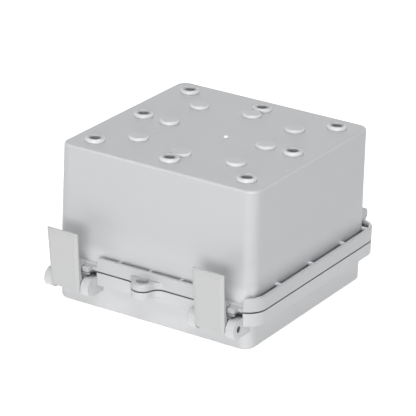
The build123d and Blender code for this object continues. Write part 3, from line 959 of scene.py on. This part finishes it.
@dataclass
class PanelInserts:
    """Eight knurled brass inserts for the inner panel's screws."""

    panel_half: float = 41.0 * MM
    line_half: float = 48.5 * MM
    foot: float = 104.8 * MM
    length: float = 9.5 * MM
    radius: float = 3.2 * MM
    bore: float = 2.1 * MM
    rim: float = 0.5 * MM
    chamfer: float = 0.25 * MM
    sleeve_steps: int = 64
    groove_width: float = 1.9 * MM
    groove_depth: float = 0.4 * MM
    knurl_share: float = 0.96
    ridge_count: int = 40
    ridge_depth: float = 0.22 * MM
    ridge_width: float = 1.1
    ridge_slant: float = 0.5
    thread_pitch: float = 0.8 * MM
    thread_depth: float = 0.35 * MM
    thread_steps: int = 24
    thread_sides: int = 4

    def places(self) -> Iterator[Place]:
        """Feet of the inserts, in the order of the CAD nodes.

        Yields:
            Foot of each insert.
        """
        half = self.panel_half
        corners = [(x, y) for x in (-half, half) for y in (-half, half)]
        middles = [(-half, 0.0), (half, 0.0), (0.0, -self.line_half), (0.0, self.line_half)]
        for x, y in corners + middles:
            yield (x, y, self.foot)

    def sleeve(self) -> bpy.types.Mesh:
        """Plain turned sleeve below the knurl, foot at z = 0.

        Returns:
            The sleeve's mesh.
        """
        inner = self.bore + self.thread_depth
        core = self.radius - self.ridge_depth
        waist = self.radius - self.groove_depth
        middle, half = self.length / 2, self.groove_width / 2
        profile = [
            (inner + self.chamfer, 0.0),
            (self.radius - self.chamfer, 0.0),
            (self.radius, self.chamfer),
            (self.radius, self.rim),
            (core, self.rim),
            (core, middle - half),
            (waist, middle - half),
            (waist, middle + half),
            (core, middle + half),
            (core, self.length - self.rim),
            (self.radius, self.length - self.rim),
            (self.radius, self.length - self.chamfer),
            (self.radius - self.chamfer, self.length),
            (inner + self.chamfer, self.length),
            (inner, self.length - self.chamfer),
            (inner, self.chamfer),
        ]
        return lathed(profile, self.sleeve_steps, "insert_sleeve")

    def knurl(self, sheet: GeometrySheet, low: Signal, height: Signal, slant: float) -> Signal:
        """Band of slanted ridges round the sleeve.

        Args:
            sheet: Tree to write to.
            low: Height of the band's lower end.
            height: Height of the band.
            slant: Lean of each ridge in radians.

        Returns:
            The band's geometry.
        """
        radius = sheet.size(f"Ridge circle {slant:+.1f}", self.radius - self.ridge_depth)
        depth = sheet.size(f"Ridge depth {slant:+.1f}", self.ridge_depth)
        count = sheet.count(f"Ridge count {slant:+.1f}", self.ridge_count)
        circle = sheet.node("GeometryNodeMeshCircle", {}, {"Vertices": count, "Radius": radius})
        size = sheet.vector(depth * 2.0, depth * self.ridge_width, height)
        bar = sheet.node("GeometryNodeMeshCube", {}, {"Size": size})
        inputs = {"Geometry": bar, "Rotation": (slant, 0.0, 0.0)}
        leaning = sheet.node("GeometryNodeTransform", {}, inputs)
        outward = sheet.node("GeometryNodeInputPosition")
        settings = {"axis": "X", "pivot_axis": "Z"}
        turned = sheet.node("FunctionNodeAlignRotationToVector", settings, {"Vector": outward})
        inputs = {"Points": circle, "Instance": leaning, "Rotation": turned}
        ridges = sheet.node("GeometryNodeInstanceOnPoints", {}, inputs)
        return sheet.raised(ridges, low + height * 0.5)

    def thread(self, sheet: GeometrySheet) -> Signal:
        """Coil of the thread's crests inside the sleeve.

        Args:
            sheet: Tree to write to.

        Returns:
            The coil's geometry.
        """
        crest = sheet.size("Thread radius", self.bore + self.thread_depth)
        rise = sheet.size("Thread height", self.length - 2 * self.chamfer - self.thread_pitch)
        turns = sheet.size("Thread turns", (self.length - self.thread_pitch) / self.thread_pitch)
        depth = sheet.size("Thread depth", self.thread_depth)
        inputs = {"Resolution": self.thread_steps, "Rotations": turns, "Height": rise}
        inputs |= {"Start Radius": crest, "End Radius": crest}
        coil = sheet.node("GeometryNodeCurveSpiral", {}, inputs)
        inputs = {"Resolution": self.thread_sides, "Radius": depth}
        wire = sheet.node("GeometryNodeCurvePrimitiveCircle", {}, inputs)
        inputs = {"Curve": coil, "Profile Curve": wire, "Fill Caps": True}
        ridge = sheet.node("GeometryNodeCurveToMesh", {}, inputs)
        return sheet.raised(ridge, self.chamfer + self.thread_pitch / 2)

    def master(self) -> bpy.types.Mesh:
        """One whole insert, foot at z = 0.

        Returns:
            The insert's mesh.
        """
        sheet = GeometrySheet("knurled_insert")
        band = (self.length - self.groove_width) / 2 - self.rim
        height = sheet.size("Band height", band * self.knurl_share)
        low = sheet.size("Lower band", self.rim)
        high = sheet.size("Upper band", self.length - self.rim - band)
        parts = [
            sheet.body(),
            self.knurl(sheet, low, height, self.ridge_slant),
            self.knurl(sheet, high, height, -self.ridge_slant),
            self.thread(sheet),
        ]
        sheet.close(sheet.joined(parts), TurnedBrass("insert_finish").make())
        return sheet.run(self.sleeve(), "insert_master")

    def make(self) -> None:
        """Sets a copy of the insert in each standoff."""
        master = self.master()
        for number, place in enumerate(self.places(), start=1):
            mesh = master.copy()
            mesh.transform(Matrix.Translation(Vector(place)))
            mesh.name = f"insert_mesh_{number}"
            piece = add_piece(f"knurled_insert_{number}", mesh, Moulding.HOUSING)
            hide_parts(f"panel_insert_{number}")
        bpy.data.meshes.remove(master)


@dataclass(frozen=True)
class Softbox:
    """Large soft lamp that faces the box."""

    name: str
    direction: Place
    size: float
    power: float
    distance: float = 2.6
    colour: Colour = (1.0, 1.0, 1.0)
    glossy: bool = True

    def make(self) -> None:
        """Hangs the lamp."""
        lamp = bpy.data.lights.new(self.name, "AREA")
        lamp.shape = "DISK"
        lamp.size = self.size
        lamp.energy = self.power
        lamp.color = self.colour
        holder = bpy.data.objects.new(self.name, lamp)
        away = Vector(self.direction).normalized()
        holder.location = away * self.distance
        holder.rotation_euler = away.to_track_quat("Z", "Y").to_euler()
        holder.visible_glossy = self.glossy
        bpy.context.scene.collection.objects.link(holder)


@dataclass
class Studio:
    """White floor, even light from all round, and four soft lamps.

    The key lamp stands low near the viewer and the top lamp overhead. The glint lamp, high in
    front, brightens the slopes of the back, and the rear lamp fills the far side without gloss.
    """

    floor_radius: float = 9.0
    floor_steps: int = 96
    floor_drop: float = 0.02 * MM
    sky: float = 0.22
    key: Softbox = Softbox("key_lamp", (0.32, -0.94, 0.105), size=1.3, power=40.5)
    top: Softbox = Softbox(
        "top_lamp", (0.05, 0.1, 1.0), size=1.2, power=16.5, distance=2.4, colour=(0.94, 0.97, 1.0)
    )
    glint: Softbox = Softbox("glint_lamp", (0.331, -0.551, 0.766), size=0.9, power=12.0)
    rear: Softbox = Softbox("rear_lamp", (-0.5, 0.86, 0.03), size=1.3, power=32.0, glossy=False)

    def make(self) -> None:
        """Builds the stage and the lights."""
        self.floor()
        self.sky_light()
        for lamp in (self.key, self.top, self.glint, self.rear):
            lamp.make()

    def floor(self) -> None:
        """Round sheet that the box lies on."""
        work = bmesh.new()
        bmesh.ops.create_circle(
            work, cap_ends=True, segments=self.floor_steps, radius=self.floor_radius
        )
        bmesh.ops.translate(work, verts=work.verts, vec=(0.0, 0.0, -self.floor_drop))
        mesh = bpy.data.meshes.new("floor_sheet")
        work.to_mesh(mesh)
        work.free()
        mesh.materials.append(StudioFloor("floor_finish").make())
        sheet = bpy.data.objects.new("floor_sheet", mesh)
        bpy.context.scene.collection.objects.link(sheet)

    def sky_light(self) -> None:
        """Even grey light that is seen as white."""
        world = bpy.data.worlds.new("studio_sky")
        world.use_nodes = True
        world.node_tree.nodes.clear()
        sheet = NodeSheet(world.node_tree)
        lit, seen = (
            sheet.node("ShaderNodeBackground", {}, {"Color": WHITE, "Strength": strength})
            for strength in (self.sky, 1.0)
        )
        mixed = sheet.node("ShaderNodeMixShader", {}, {0: seen_share(sheet), 1: lit, 2: seen})
        sheet.node("ShaderNodeOutputWorld", {}, {"Surface": mixed})
        bpy.context.scene.world = world


@dataclass
class PhotoCamera:
    """Camera at the photograph's angle."""

    azimuth: float = 31.199
    elevation: float = 22.309
    roll: float = 2.090
    distance: float = 2.0
    across: float = -6.6 * MM
    up: float = -53.412 * MM
    aim_height: float = 120.8 * MM
    lens: float = 239.35
    sensor: float = 36.0

    def make(self) -> None:
        """Adds the camera and makes it the scene's own."""
        a, e, r = (math.radians(v) for v in (self.azimuth, self.elevation, self.roll))
        back = Vector((math.sin(a) * math.cos(e), -math.cos(a) * math.cos(e), math.sin(e)))
        level = Vector((math.cos(a), math.sin(a), 0.0))
        rise = back.cross(level)
        right = math.cos(r) * level + math.sin(r) * rise
        top = -math.sin(r) * level + math.cos(r) * rise
        eye = back * self.distance + right * self.across + top * self.up
        eye += Vector((0.0, 0.0, self.aim_height))
        lens = bpy.data.cameras.new("photo_camera")
        lens.lens = self.lens
        lens.sensor_width = self.sensor
        camera = bpy.data.objects.new("photo_camera", lens)
        turn = Matrix((right, top, back)).transposed().to_4x4()
        camera.matrix_world = Matrix.Translation(eye) @ turn
        bpy.context.scene.collection.objects.link(camera)
        bpy.context.scene.camera = camera


def main() -> None:
    """Builds and dresses every piece, then the stage and the camera."""
    logging.basicConfig(level=logging.INFO, format="%(name)s: %(message)s")
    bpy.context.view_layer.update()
    Housing().make()
    Lid().make()
    Latches().make()
    PanelInserts().make()
    Studio().make()
    PhotoCamera().make()
    bpy.context.scene.view_settings.view_transform = "Standard"


if __name__ == "__main__":
    main()
